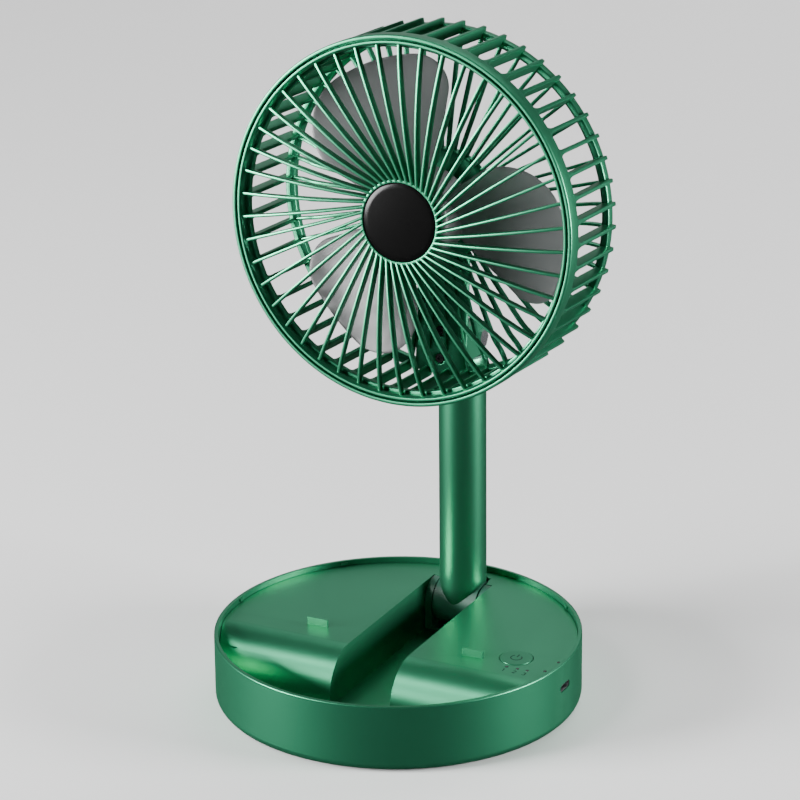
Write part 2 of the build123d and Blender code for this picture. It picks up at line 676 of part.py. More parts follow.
# Front guard: outer ring, swirled spokes and the hub dish that seats the badge.
with BuildPart() as front_guard:
    with BuildSketch(HEAD_SIDE):
        with BuildLine():
            Polyline(
                (GUARD_R - 0.8, -0.1),
                (GUARD_R - 0.3, -0.1),
                (GUARD_R, -0.4),
                (GUARD_R, LEDGE_Z + 0.1),
                (GUARD_IN_R, LEDGE_Z + 0.1),
                (GUARD_IN_R, -1.6),
                close=True,
            )
        make_face()
        with BuildLine():
            Polyline(
                (0, DISH_FLOOR),
                (BADGE_R + 0.1, DISH_FLOOR),
                (BADGE_R + 0.1, -1.1),
                (BADGE_R + 0.4, HUB_RING_FRONT),
                (HUB_RING_R - 0.4, HUB_RING_FRONT),
                (HUB_RING_R, -1.2),
                (HUB_RING_R, HUB_RING_BACK),
                (HUB_RING_R - 1.5, HUB_RING_BACK),
                (HUB_RING_R - 1.5, DISH_BACK),
                (0, DISH_BACK),
                close=True,
            )
        make_face()
    revolve(axis=HEAD_AXIS)
    add(front_spokes.part)
front_guard.part.label = "front_guard"
export_step(front_guard.part, "parts/front_guard.step")

# Blank hub badge, slightly domed.
with BuildPart() as hub_badge:
    with BuildSketch(HEAD_SIDE):
        with BuildLine():
            dome = ThreePointArc((0, -0.7), (BADGE_R / 2, -0.85), (BADGE_R, -1.3))
            Polyline(dome @ 1, (BADGE_R, -2.65), (0, -2.65), dome @ 0)
        make_face()
    revolve(axis=HEAD_AXIS)
hub_badge.part.label = "hub_badge"
export_step(hub_badge.part, "parts/hub_badge.step")

# Cover that closes the back of the motor's hub.
with BuildPart() as motor_cover:
    with BuildSketch(HEAD_SIDE):
        with BuildLine():
            Polyline(
                (0, REAR_Z + 1.2),
                (HUB_PLATE_R - 5.0, REAR_Z + 1.2),
                (HUB_PLATE_R - 2.2, REAR_Z + 3.0),
                (HUB_PLATE_R - 2.2, HUB_PLATE_BACK - 0.1),
                (HUB_PLATE_R - 3.8, HUB_PLATE_BACK - 0.1),
                (HUB_PLATE_R - 3.8, REAR_Z + 3.2),
                (0, REAR_Z + 2.8),
                close=True,
            )
        make_face()
    revolve(axis=HEAD_AXIS)
motor_cover.part.label = "motor_cover"
export_step(motor_cover.part, "parts/motor_cover.step")

# Neck bracket: a plate behind the lower fairing and two ears that straddle the tongue.
with BuildPart() as neck_bracket:
    with BuildSketch(HEAD.offset(REAR_Z - 0.1)):
        with Locations((0, NECK_DROP + 0.3)):
            Rectangle(2 * EAR_OUT + 2.0, 17.4)
    extrude(amount=2.2)
    with BuildSketch(HEAD_CUT.offset(-EAR_OUT)):
        with Locations((NECK_DROP, NECK_BACK)):
            Circle(NECK_R)
        with Locations((NECK_DROP, (NECK_BACK + REAR_Z) / 2)):
            Rectangle(2 * NECK_R, REAR_Z - NECK_BACK)
    extrude(amount=2 * EAR_OUT)
    with BuildSketch(HEAD_CUT.offset(-EAR_IN)):
        with Locations((NECK_DROP, REAR_Z - 0.1 - 2 * NECK_R)):
            Rectangle(4 * NECK_R, 4 * NECK_R)
    extrude(amount=2 * EAR_IN, mode=Mode.SUBTRACT)
    with BuildSketch(HEAD_CUT.offset(-EAR_OUT)):
        with Locations((NECK_DROP, NECK_BACK)):
            Circle(PIN_R + 0.02)
    extrude(amount=2 * EAR_OUT, mode=Mode.SUBTRACT)
    with BuildSketch(HEAD.offset(REAR_Z - 1.0)):
        with Locations(*[(0, drop) for drop in SCREW_DROPS]):
            Circle(1.3)
    extrude(amount=5.0, mode=Mode.SUBTRACT)
neck_bracket.part.label = "neck_bracket"
export_step(neck_bracket.part, "parts/neck_bracket.step")

# Screws that clamp the lower fairing to the neck bracket.
with BuildPart() as bracket_screws:
    with BuildSketch(HEAD.offset(REAR_Z + 3.95)):
        with Locations(*[(0, drop) for drop in SCREW_DROPS]):
            Circle(1.9)
    extrude(amount=1.1)
    with BuildSketch(HEAD.offset(REAR_Z + 5.1)):
        with Locations(*[(0, drop) for drop in SCREW_DROPS]):
            Rectangle(2.0, 0.5)
            Rectangle(0.5, 2.0)
    extrude(amount=-0.6, mode=Mode.SUBTRACT)
    with BuildSketch(HEAD.offset(REAR_Z + 3.95)):
        with Locations(*[(0, drop) for drop in SCREW_DROPS]):
            Circle(1.25)
    extrude(amount=-4.0)
bracket_screws.part.label = "bracket_screws"
export_step(bracket_screws.part, "parts/bracket_screws.step")

# Neck pin with a domed head on one side and a lock nut on the other.
with BuildPart() as neck_pin:
    with BuildSketch(x_plane(-EAR_OUT - 0.05)):
        with Locations((NECK_Y, NECK_Z)):
            Circle(PIN_R)
    extrude(amount=2 * EAR_OUT + 2.2)
    with BuildSketch(x_plane(-EAR_OUT - 0.05)):
        with Locations((NECK_Y, NECK_Z)):
            Circle(4.2)
    extrude(amount=-1.9)
    fillet(neck_pin.edges().group_by(Axis.X)[0], 0.8)
neck_pin.part.label = "neck_pin"
export_step(neck_pin.part, "parts/neck_pin.step")

# Hexagonal lock nut on the neck pin.
with BuildPart() as neck_nut:
    with BuildSketch(x_plane(EAR_OUT + 0.05)):
        with Locations((NECK_Y, NECK_Z)):
            RegularPolygon(4.4, 6)
            Circle(PIN_R + 0.05, mode=Mode.SUBTRACT)
    extrude(amount=2.0)
neck_nut.part.label = "neck_nut"
export_step(neck_nut.part, "parts/neck_nut.step")

# Friction washers between the tongue and the ears.
with BuildPart() as neck_washers:
    for inner_face in (TONGUE_HALF + 0.05, -EAR_IN + 0.05):
        with BuildSketch(x_plane(inner_face)):
            with Locations((NECK_Y, NECK_Z)):
                Circle(WASHER_R)
                Circle(PIN_R + 0.1, mode=Mode.SUBTRACT)
        extrude(amount=EAR_IN - TONGUE_HALF - 0.1)
neck_washers.part.label = "neck_washers"
export_step(neck_washers.part, "parts/neck_washers.step")

# ================================ head: motor ===================================================

# Motor mount: flange screwed to the hub plate, with the bearing tube standing on it.
with BuildPart() as motor_mount:
    with BuildSketch(HEAD.offset(HUB_PLATE_FRONT + 0.05)):
        Circle(STATOR_R)
    extrude(amount=2.0)
    with BuildSketch(HEAD.offset(HUB_PLATE_FRONT + 0.05)):
        Circle(TUBE_OUT_R)
    extrude(amount=BEARING_FRONTS[0] + 0.4 - HUB_PLATE_FRONT - 0.05)
    with BuildSketch(HEAD.offset(BEARING_FRONTS[1] - BEARING_THICK - 0.1)):
        Circle(BEARING_R + 0.03)
    extrude(amount=30.0, mode=Mode.SUBTRACT)
    with BuildSketch(HEAD.offset(HUB_PLATE_FRONT)):
        with PolarLocations(MOTOR_SCREW_PITCH_R, MOTOR_SCREW_COUNT, start_angle=90):
            Circle(1.0)
    extrude(amount=3.0, mode=Mode.SUBTRACT)
motor_mount.part.label = "motor_mount"
export_step(motor_mount.part, "parts/motor_mount.step")

# Screws that fix the motor mount through the hub plate.
with BuildPart() as motor_screws:
    with BuildSketch(HEAD.offset(HUB_PLATE_BACK - 0.05)):
        with PolarLocations(MOTOR_SCREW_PITCH_R, MOTOR_SCREW_COUNT, start_angle=90):
            Circle(1.9)
    extrude(amount=-1.1)
    with BuildSketch(HEAD.offset(HUB_PLATE_BACK - 0.05)):
        with PolarLocations(MOTOR_SCREW_PITCH_R, MOTOR_SCREW_COUNT, start_angle=90):
            Circle(0.95)
    extrude(amount=4.8)
motor_screws.part.label = "motor_screws"
export_step(motor_screws.part, "parts/motor_screws.step")

# Stator: laminated hub, teeth and pole faces with a slot between neighbours.
with BuildPart() as stator:
    with BuildSketch(HEAD.offset(STATOR_BACK)):
        Circle(STATOR_R)
        Circle(STATOR_R - 1.6, mode=Mode.SUBTRACT)
        Circle(STATOR_HUB_R)
        with PolarLocations((STATOR_R + STATOR_HUB_R) / 2 - 1.0, STATOR_TEETH):
            Rectangle(STATOR_R - STATOR_HUB_R + 1.0, TOOTH_WIDTH)
        with PolarLocations(STATOR_R, STATOR_TEETH, start_angle=180 / STATOR_TEETH):
            Rectangle(6.0, 1.2, mode=Mode.SUBTRACT)
        Circle(TUBE_OUT_R + 0.03, mode=Mode.SUBTRACT)
    extrude(amount=STATOR_FRONT - STATOR_BACK)
stator.part.label = "stator"
export_step(stator.part, "parts/stator.step")

# Ring-shaped motor driver board behind the stator.
with BuildPart() as motor_board:
    with BuildSketch(HEAD.offset(STATOR_BACK - 0.8)):
        Circle(STATOR_R)
        Circle(TUBE_OUT_R + 0.1, mode=Mode.SUBTRACT)
    extrude(amount=-1.2)
motor_board.part.label = "motor_board"
export_step(motor_board.part, "parts/motor_board.step")

# Two plain bearings in the ends of the bearing tube.
with BuildPart() as bearings:
    for bearing_front in BEARING_FRONTS:
        with BuildSketch(HEAD.offset(bearing_front)):
            Circle(BEARING_R)
            Circle(SHAFT_R + PIN_FIT, mode=Mode.SUBTRACT)
        extrude(amount=-BEARING_THICK)
bearings.part.label = "bearings"
export_step(bearings.part, "parts/bearings.step")

# ================================ impeller =======================================================

# One blade: a pitched slab, trimmed to a rounded paddle outline.
lead_turn = BLADE_LEAD + degrees(asin(BLADE_LEAD_ROUND / (BLADE_TIP_R - BLADE_LEAD_ROUND)))
trail_turn = BLADE_TRAIL - degrees(asin(BLADE_TRAIL_ROUND / (BLADE_TIP_R - BLADE_TRAIL_ROUND)))
lead_root_r = ((BLADE_TIP_R - BLADE_LEAD_ROUND) ** 2 - BLADE_LEAD_ROUND**2) ** 0.5
trail_root_r = ((BLADE_TIP_R - BLADE_TRAIL_ROUND) ** 2 - BLADE_TRAIL_ROUND**2) ** 0.5


def polar(radius, turn):
    """Point in the head's plane at a radius and an angle in degrees."""
    point = Vector(radius, 0).rotate(Axis.Z, turn)
    return (point.X, point.Y)


def fillet_middle(turn, edge_turn, corner_r):
    """Middle of the tip corner's arc, between the straight edge and the tip circle."""
    centre = Vector(*polar(BLADE_TIP_R - corner_r, turn))
    outward = centre.normalized() + Vector(0, 1 if edge_turn > turn else -1).rotate(Axis.Z, edge_turn)
    middle = centre + outward.normalized() * corner_r
    return (middle.X, middle.Y)


with BuildPart() as blade:
    with BuildSketch(HEAD.offset(BLADE_MID_Z).rotated((BLADE_PITCH, 0, 0))):
        with Locations((BLADE_TIP_R / 2, 0)):
            Rectangle(BLADE_TIP_R + 10.0, 2 * BLADE_TIP_R)
    extrude(amount=BLADE_THICK / 2, both=True)
    with BuildSketch(HEAD.offset(BLADE_MID_Z)):
        with BuildLine():
            trail_edge = Line(polar(ROTOR_R - 1.0, BLADE_TRAIL), polar(trail_root_r, BLADE_TRAIL))
            trail_tip = ThreePointArc(
                trail_edge @ 1,
                fillet_middle(trail_turn, BLADE_TRAIL, BLADE_TRAIL_ROUND),
                polar(BLADE_TIP_R, trail_turn),
            )
            tip_middle = polar(BLADE_TIP_R, (lead_turn + trail_turn) / 2)
            tip = ThreePointArc(trail_tip @ 1, tip_middle, polar(BLADE_TIP_R, lead_turn))
            lead_tip = ThreePointArc(
                tip @ 1,
                fillet_middle(lead_turn, BLADE_LEAD, BLADE_LEAD_ROUND),
                polar(lead_root_r, BLADE_LEAD),
            )
            lead_edge = Line(lead_tip @ 1, polar(ROTOR_R - 1.0, BLADE_LEAD))
            ThreePointArc(lead_edge @ 1, (ROTOR_R - 1.0, 0), trail_edge @ 0)
        make_face()
    extrude(amount=20.0, both=True, mode=Mode.INTERSECT)

# Impeller: a closed cup with a shaft boss inside it and the blades round it.
with BuildPart() as impeller:
    with BuildSketch(HEAD_SIDE):
        with BuildLine():
            Polyline(
                (0, ROTOR_FRONT),
                (ROTOR_R - 2.0, ROTOR_FRONT),
                (ROTOR_R, ROTOR_FRONT - 2.0),
                (ROTOR_R, ROTOR_BACK),
                (ROTOR_R - ROTOR_WALL, ROTOR_BACK),
                (ROTOR_R - ROTOR_WALL, ROTOR_FRONT - 2.0),
                (3.4, ROTOR_FRONT - 2.0),
                (3.4, ROTOR_FRONT - 4.0),
                (SHAFT_R + 0.02, ROTOR_FRONT - 4.0),
                (SHAFT_R + 0.02, ROTOR_FRONT - 1.0),
                (0, ROTOR_FRONT - 1.0),
                close=True,
            )
        make_face()
    revolve(axis=HEAD_AXIS)
    for blade_turn in BLADE_TURNS:
        add(blade.part.rotate(HEAD_AXIS, blade_turn))
impeller.part.label = "impeller"
export_step(impeller.part, "parts/impeller.step")

# Shaft from the cup's boss back through both bearings.
with BuildPart() as motor_shaft:
    with BuildSketch(HEAD.offset(ROTOR_FRONT - 1.1)):
        Circle(SHAFT_R)
    extrude(amount=BEARING_FRONTS[1] - BEARING_THICK + 0.2 - (ROTOR_FRONT - 1.1))
motor_shaft.part.label = "motor_shaft"
export_step(motor_shaft.part, "parts/motor_shaft.step")

# Steel yoke lining the cup.
with BuildPart() as rotor_yoke:
    with BuildSketch(HEAD.offset(ROTOR_BACK + 0.5)):
        Circle(ROTOR_R - ROTOR_WALL - 0.05)
        Circle(ROTOR_R - ROTOR_WALL - 1.0, mode=Mode.SUBTRACT)
    extrude(amount=ROTOR_FRONT - 2.5 - ROTOR_BACK - 0.5)
rotor_yoke.part.label = "rotor_yoke"
export_step(rotor_yoke.part, "parts/rotor_yoke.step")

# Ring magnet inside the yoke, round the stator.
with BuildPart() as rotor_magnet:
    with BuildSketch(HEAD.offset(STATOR_BACK - 1.0)):
        Circle(ROTOR_R - ROTOR_WALL - 1.05)
        Circle(STATOR_R + 0.4, mode=Mode.SUBTRACT)
    extrude(amount=STATOR_FRONT - STATOR_BACK + 2.0)
rotor_magnet.part.label = "rotor_magnet"
export_step(rotor_magnet.part, "parts/rotor_magnet.step")
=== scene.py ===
"""Looks for the folding desk fan: finishes, guards, impeller, column, printed marks and the studio."""

import json
import logging
from dataclasses import dataclass, field
from enum import Enum

import bmesh
import bpy
import numpy as np
from mathutils import Matrix, Vector


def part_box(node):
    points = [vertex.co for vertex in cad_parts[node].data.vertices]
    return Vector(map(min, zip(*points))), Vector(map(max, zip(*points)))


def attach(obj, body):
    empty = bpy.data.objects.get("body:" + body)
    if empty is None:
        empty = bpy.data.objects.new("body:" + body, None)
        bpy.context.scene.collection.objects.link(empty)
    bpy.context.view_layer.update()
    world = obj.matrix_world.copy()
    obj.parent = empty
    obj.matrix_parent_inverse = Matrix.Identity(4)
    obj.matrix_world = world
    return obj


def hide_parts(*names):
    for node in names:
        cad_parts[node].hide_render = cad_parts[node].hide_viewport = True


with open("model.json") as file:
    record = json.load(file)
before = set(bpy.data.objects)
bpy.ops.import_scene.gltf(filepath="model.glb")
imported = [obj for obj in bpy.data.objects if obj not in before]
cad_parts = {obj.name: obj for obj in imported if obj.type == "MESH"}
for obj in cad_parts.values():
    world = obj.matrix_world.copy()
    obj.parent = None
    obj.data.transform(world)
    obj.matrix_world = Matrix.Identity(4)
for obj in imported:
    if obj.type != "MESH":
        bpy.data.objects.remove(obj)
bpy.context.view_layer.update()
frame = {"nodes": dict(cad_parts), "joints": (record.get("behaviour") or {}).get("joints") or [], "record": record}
LOG = logging.getLogger("desk_fan")
MM = 0.001
BAR_SIDES = 16
SHARP_DEGREES = 38
Array = np.ndarray


# ------------------------------------------------------------------------------ finishes


class Family(Enum):
    """The families of surface that the fan is made of."""

    PAINT = "paint"
    MOULDED = "moulded"
    METAL = "metal"
    RUBBER = "rubber"
    GLOSS = "gloss"
    CLEAR = "clear"


# Families whose colour gets a painted highlight along convex edges.
EDGE_HIGHLIGHT_FAMILIES = (Family.PAINT, Family.MOULDED, Family.METAL)
CLOUD_SCALE = 28.0
CLOUD_DETAIL = 2.0
GRAIN_DETAIL = 3.0
ROUGH_SPREAD = 0.08
BUMP_STRENGTH = 0.6
COAT_ROUGHNESS = 0.12
GLOSS_SPECULAR = 0.12
CLEAR_SHARE = 0.6
# Painted edge highlight: the pointiness range over which convex edges are lightened, and the largest share of the
# lighter colour.
EDGE_HIGHLIGHT_FROM = 0.52
EDGE_HIGHLIGHT_TO = 0.62
EDGE_HIGHLIGHT_SHARE = 0.35


@dataclass(frozen=True)
class Finish:
    """One surface finish.

    Args:
        name: Name of the material.
        family: Family of surface, which chooses the shader's layers.
        color: Linear base colour.
        roughness: Middle of the roughness range.
        metallic: Metallic share of the surface.
        grain: Grains per millimetre of the fine texture.
        relief: Depth of the fine texture in millimetres.
        drift: Share by which the colour wanders over the piece.
        coat: Strength of the clear coat.
    """

    name: str
    family: Family
    color: tuple[float, float, float]
    roughness: float = 0.45
    metallic: float = 0.0
    grain: float = 4.0
    relief: float = 0.01
    drift: float = 0.12
    coat: float = 0.0

    def build(self) -> bpy.types.Material:
        """Make the node material: colour drift, fleck, roughness break-up, a painted highlight along convex edges
        and bump.

        Returns:
            The finished material.
        """
        material = bpy.data.materials.new(self.name)
        material.use_nodes = True
        tree = material.node_tree
        shader = tree.nodes["Principled BSDF"]
        shader.inputs["Metallic"].default_value = self.metallic
        shader.inputs["Coat Weight"].default_value = self.coat
        shader.inputs["Coat Roughness"].default_value = COAT_ROUGHNESS
        if self.family is Family.GLOSS:
            shader.inputs["Specular IOR Level"].default_value = GLOSS_SPECULAR
        if self.family is Family.CLEAR:
            shader.inputs["Transmission Weight"].default_value = CLEAR_SHARE
        place = tree.nodes.new("ShaderNodeTexCoord")
        grain = self._noise(tree, place, self.grain / MM, GRAIN_DETAIL)
        # The base colour carries a painted highlight along convex edges.
        tree.links.new(self._worn(tree, self._tinted(tree, place, grain)), shader.inputs["Base Color"])
        roughest = min(1.0, self.roughness + ROUGH_SPREAD)
        rough = self._span(tree, grain, self.roughness - ROUGH_SPREAD, roughest)
        tree.links.new(rough, shader.inputs["Roughness"])
        bump = tree.nodes.new("ShaderNodeBump")
        bump.inputs["Distance"].default_value = self.relief * MM
        bump.inputs["Strength"].default_value = BUMP_STRENGTH
        tree.links.new(grain.outputs["Fac"], bump.inputs["Height"])
        tree.links.new(bump.outputs["Normal"], shader.inputs["Normal"])
        return material

    def _tinted(self, tree: bpy.types.NodeTree, place: bpy.types.Node,
                grain: bpy.types.Node) -> bpy.types.NodeSocket:
        """The base colour, wandering in clouds and flecked by the grain.

        Args:
            tree: The material's node tree.
            place: Texture coordinates.
            grain: The fine noise.

        Returns:
            Socket of the colour.
        """
        cloud = self._noise(tree, place, CLOUD_SCALE, CLOUD_DETAIL)
        tint = tree.nodes.new("ShaderNodeMix")
        tint.data_type = "RGBA"
        tree.links.new(cloud.outputs["Fac"], tint.inputs["Factor"])
        tint.inputs["A"].default_value = (*[c * (1 - self.drift) for c in self.color], 1)
        tint.inputs["B"].default_value = (*[min(1.0, c * (1 + self.drift)) for c in self.color], 1)
        fleck = tree.nodes.new("ShaderNodeMix")
        fleck.data_type = "RGBA"
        fleck.blend_type = "MULTIPLY"
        fleck.inputs["Factor"].default_value = 1.0
        tree.links.new(tint.outputs["Result"], fleck.inputs["A"])
        shade = self._span(tree, grain, 1.0 - 2.0 * self.drift, 1.0 + 2.0 * self.drift)
        tree.links.new(shade, fleck.inputs["B"])
        return fleck.outputs["Result"]

    @staticmethod
    def _span(tree: bpy.types.NodeTree, noise: bpy.types.Node, low: float,
              high: float) -> bpy.types.NodeSocket:
        """The noise carried over to run from low to high."""
        span = tree.nodes.new("ShaderNodeMapRange")
        span.inputs["To Min"].default_value = low
        span.inputs["To Max"].default_value = high
        tree.links.new(noise.outputs["Fac"], span.inputs["Value"])
        return span.outputs["Result"]

    @staticmethod
    def _noise(tree: bpy.types.NodeTree, place: bpy.types.Node, scale: float,
               detail: float) -> bpy.types.Node:
        """A noise texture on Object coordinates at a scale per metre."""
        noise = tree.nodes.new("ShaderNodeTexNoise")
        noise.inputs["Scale"].default_value = scale
        noise.inputs["Detail"].default_value = detail
        tree.links.new(place.outputs["Object"], noise.inputs["Vector"])
        return noise

    def _worn(self, tree: bpy.types.NodeTree, color: bpy.types.NodeSocket) -> bpy.types.NodeSocket:
        """Lighten the colour a little along convex edges: a painted edge highlight, not wear.

        Args:
            tree: The material's node tree.
            color: Socket of the colour so far.

        Returns:
            Socket of the colour with the painted edge highlight.
        """
        if self.family not in EDGE_HIGHLIGHT_FAMILIES:
            return color
        shape = tree.nodes.new("ShaderNodeNewGeometry")
        edge = tree.nodes.new("ShaderNodeMapRange")
        edge.inputs["From Min"].default_value = EDGE_HIGHLIGHT_FROM
        edge.inputs["From Max"].default_value = EDGE_HIGHLIGHT_TO
        edge.inputs["To Max"].default_value = EDGE_HIGHLIGHT_SHARE
        tree.links.new(shape.outputs["Pointiness"], edge.inputs["Value"])
        # Painted highlight: a lighter copy of the colour blended in along convex edges.
        edge_lit = tree.nodes.new("ShaderNodeMix")
        edge_lit.data_type = "RGBA"
        edge_lit.inputs["B"].default_value = (*[min(1.0, c * 1.5 + 0.02) for c in self.color], 1)
        tree.links.new(edge.outputs["Result"], edge_lit.inputs["Factor"])
        tree.links.new(color, edge_lit.inputs["A"])
        return edge_lit.outputs["Result"]


@dataclass(frozen=True)
class Finishes:
    """Every finish on the fan, by the part of the fan that wears it."""

    paint: Finish = Finish(
        "satin_green", Family.PAINT, (0.036, 0.250, 0.130),
        roughness=0.36, metallic=0.9, grain=9.0, relief=0.006, drift=0.06)
    tube: Finish = Finish(
        "tube_green", Family.PAINT, (0.036, 0.225, 0.118),
        roughness=0.34, metallic=0.92, grain=9.0, relief=0.005, drift=0.05)
    dark: Finish = Finish(
        "shadow_green", Family.MOULDED, (0.014, 0.075, 0.048),
        metallic=0.1, grain=6.0, drift=0.08)
    blade: Finish = Finish(
        "grey_blade", Family.MOULDED, (0.085, 0.085, 0.088),
        grain=5.0, relief=0.008, drift=0.05, coat=0.05)
    badge: Finish = Finish(
        "piano_black", Family.GLOSS, (0.002, 0.002, 0.002),
        roughness=0.22, grain=3.0, relief=0.001, drift=0.02)
    rubber: Finish = Finish(
        "foot_rubber", Family.RUBBER, (0.018, 0.018, 0.018),
        roughness=0.85, grain=3.0, relief=0.03, drift=0.1)
    steel: Finish = Finish(
        "plated_steel", Family.METAL, (0.52, 0.53, 0.55),
        roughness=0.28, metallic=1.0, grain=5.0, relief=0.004, drift=0.05)
    oxide: Finish = Finish(
        "black_oxide", Family.METAL, (0.03, 0.03, 0.032),
        roughness=0.40, metallic=0.8, grain=5.0, relief=0.006, drift=0.08)
    nylon: Finish = Finish(
        "natural_nylon", Family.MOULDED, (0.70, 0.68, 0.62),
        roughness=0.55, drift=0.04)
    wrap: Finish = Finish(
        "cell_wrap", Family.GLOSS, (0.03, 0.12, 0.35),
        roughness=0.30, grain=2.0, relief=0.004, drift=0.04, coat=0.3)
    black: Finish = Finish(
        "black_moulding", Family.MOULDED, (0.02, 0.02, 0.02),
        roughness=0.50, grain=5.0, drift=0.08)
    board: Finish = Finish(
        "solder_mask", Family.GLOSS, (0.01, 0.09, 0.04),
        roughness=0.35, grain=2.0, coat=0.2)
    pipe: Finish = Finish(
        "light_pipe", Family.CLEAR, (0.020, 0.060, 0.042),
        roughness=0.25, relief=0.002, drift=0.02)
    iron: Finish = Finish(
        "laminated_iron", Family.METAL, (0.16, 0.16, 0.17),
        metallic=0.9, grain=6.0, drift=0.1)
    magnet: Finish = Finish(
        "ferrite", Family.METAL, (0.06, 0.06, 0.065),
        roughness=0.60, metallic=0.3, relief=0.02, drift=0.1)
    ink: Finish = Finish(
        "dark_print", Family.GLOSS, (0.006, 0.030, 0.020),
        grain=6.0, relief=0.002, drift=0.03)


SLOT_FINISH = {
    "green_paint": "paint",
    "green_metal": "tube",
    "dark_green": "dark",
    "rubber_black": "rubber",
    "steel": "steel",
    "black_screw": "oxide",
    "nylon": "nylon",
    "cell_wrap": "wrap",
    "black_plastic": "black",
    "board_green": "board",
    "clear_pipe": "pipe",
    "grey_plastic": "blade",
    "badge_black": "badge",
    "lamination": "iron",
    "magnet": "magnet",
}


class PaintShop:
    """Builds each finish once and puts it on CAD nodes and new pieces."""

    def __init__(self) -> None:
        """Build every material."""
        finishes = Finishes()
        self.materials = {key: getattr(finishes, key).build() for key in finishes.__dataclass_fields__}

    def dress(self, obj: bpy.types.Object, finish: str) -> None:
        """Give an object one finish in every slot."""
        if not obj.material_slots:
            obj.data.materials.append(self.materials[finish])
        for place in obj.material_slots:
            place.material = self.materials[finish]

    def dress_frame(self) -> None:
        """Give every CAD node the finish that its recorded slot names."""
        slots = {row["node"]: row["material_slot"] for row in frame["record"]["subparts"]}
        for name, obj in frame["nodes"].items():
            for place in obj.material_slots:
                place.material = self.materials[SLOT_FINISH[slots[name]]]


# ------------------------------------------------------------------------------ surfaces


@dataclass
class Shell:
    """Points and faces of a closed surface, in millimetres, that other shells can join."""

    points: Array
    faces: list[tuple[int, ...]] = field(default_factory=list)

    @staticmethod
    def from_grid(grid: Array, wrap_u: bool, wrap_v: bool, cap: bool = False) -> "Shell":
        """Quads over a grid of points, closed round u or v, with end caps where asked.

        Args:
            grid: Points as (u, v, 3).
            wrap_u: Whether the last row joins the first.
            wrap_v: Whether the last column joins the first.
            cap: Whether the first and last rows are closed by one face each.

        Returns:
            The surface.
        """
        rows, columns = grid.shape[:2]
        u = np.arange(rows if wrap_u else rows - 1)[:, None]
        v = np.arange(columns if wrap_v else columns - 1)[None, :]
        u_next = (u + 1) % rows
        v_next = (v + 1) % columns
        quads = np.stack(np.broadcast_arrays(u * columns + v, u_next * columns + v,
                                             u_next * columns + v_next, u * columns + v_next), -1)
        faces = [tuple(quad) for quad in quads.reshape(-1, 4).tolist()]
        if cap:
            faces.append(tuple(range(columns)))
            faces.append(tuple(range((rows - 1) * columns, rows * columns))[::-1])
        return Shell(grid.reshape(-1, 3), faces)

    @staticmethod
    def join(shells: list["Shell"]) -> "Shell":
        """One shell from several that stay separate islands."""
        starts = np.cumsum([0] + [len(shell.points) for shell in shells[:-1]])
        faces = [tuple(i + int(start) for i in face)
                 for shell, start in zip(shells, starts) for face in shell.faces]
        return Shell(np.concatenate([shell.points for shell in shells]), faces)

    def repeated(self, frames: Array) -> "Shell":
        """Copies of the shell, one for each 3 by 3 turning matrix."""
        points = np.einsum("kij,nj->kni", frames, self.points)
        return Shell.join([Shell(copy, self.faces) for copy in points])


def turns(angles: Array) -> Array:
    """Turning matrices about the local z axis, one for each angle in degrees."""
    a = np.radians(angles)
    zero, one = np.zeros_like(a), np.ones_like(a)
    return np.stack([np.stack([np.cos(a), -np.sin(a), zero], -1), np.stack([np.sin(a), np.cos(a), zero], -1),
                     np.stack([zero, zero, one], -1)], -2)


def turned(profile: Array, segments: int = 192) -> Shell:
    """A closed profile of (radius, height) carried round the z axis.

    The point at (i, j) is (r_i cos t_j, r_i sin t_j, z_i), for a profile that runs anticlockwise.

    Args:
        profile: Closed loop of radius and height.
        segments: Steps round the circle.

    Returns:
        The ring.
    """
    t = np.linspace(0, 2 * np.pi, segments, endpoint=False)
    radius, height = profile[:, 0][None, :], profile[:, 1][None, :]
    grid = np.stack([radius * np.cos(t)[:, None], radius * np.sin(t)[:, None],
                     np.broadcast_to(height, (segments, len(profile)))], -1)
    return Shell.from_grid(grid, True, True)


def rounded_loop(corners: list[tuple[float, float]], radii: float | list[float], steps: int = 5) -> Array:
    """A closed outline with each corner replaced by a circular arc.

    Each arc touches both sides at radius / tan(half the corner's angle) from the corner, and its points
    are blended by the slerp of the two side directions.

    Args:
        corners: Corners in order.
        radii: Arc radius, or one for each corner.
        steps: Points on each arc.

    Returns:
        Points as (n, 2).
    """
    p = np.array(corners, float)
    r = np.broadcast_to(np.array(radii, float), len(p))
    before, after = np.roll(p, 1, 0) - p, np.roll(p, -1, 0) - p
    before /= np.linalg.norm(before, axis=1)[:, None]
    after /= np.linalg.norm(after, axis=1)[:, None]
    half = np.arccos(np.clip((before * after).sum(1), -1, 1)) / 2
    reach = np.maximum(r, 1e-4) / np.tan(half)
    bisector = before + after
    bisector /= np.linalg.norm(bisector, axis=1)[:, None]
    centre = p + bisector * (np.maximum(r, 1e-4) / np.sin(half))[:, None]
    first, last = p + before * reach[:, None] - centre, p + after * reach[:, None] - centre
    sweep = np.pi - 2 * half
    s = np.linspace(0, 1, steps)[None, :, None]
    w = sweep[:, None, None]
    arc = (np.sin((1 - s) * w) * first[:, None] + np.sin(s * w) * last[:, None]) / np.sin(w)
    return (centre[:, None] + arc).reshape(-1, 2)


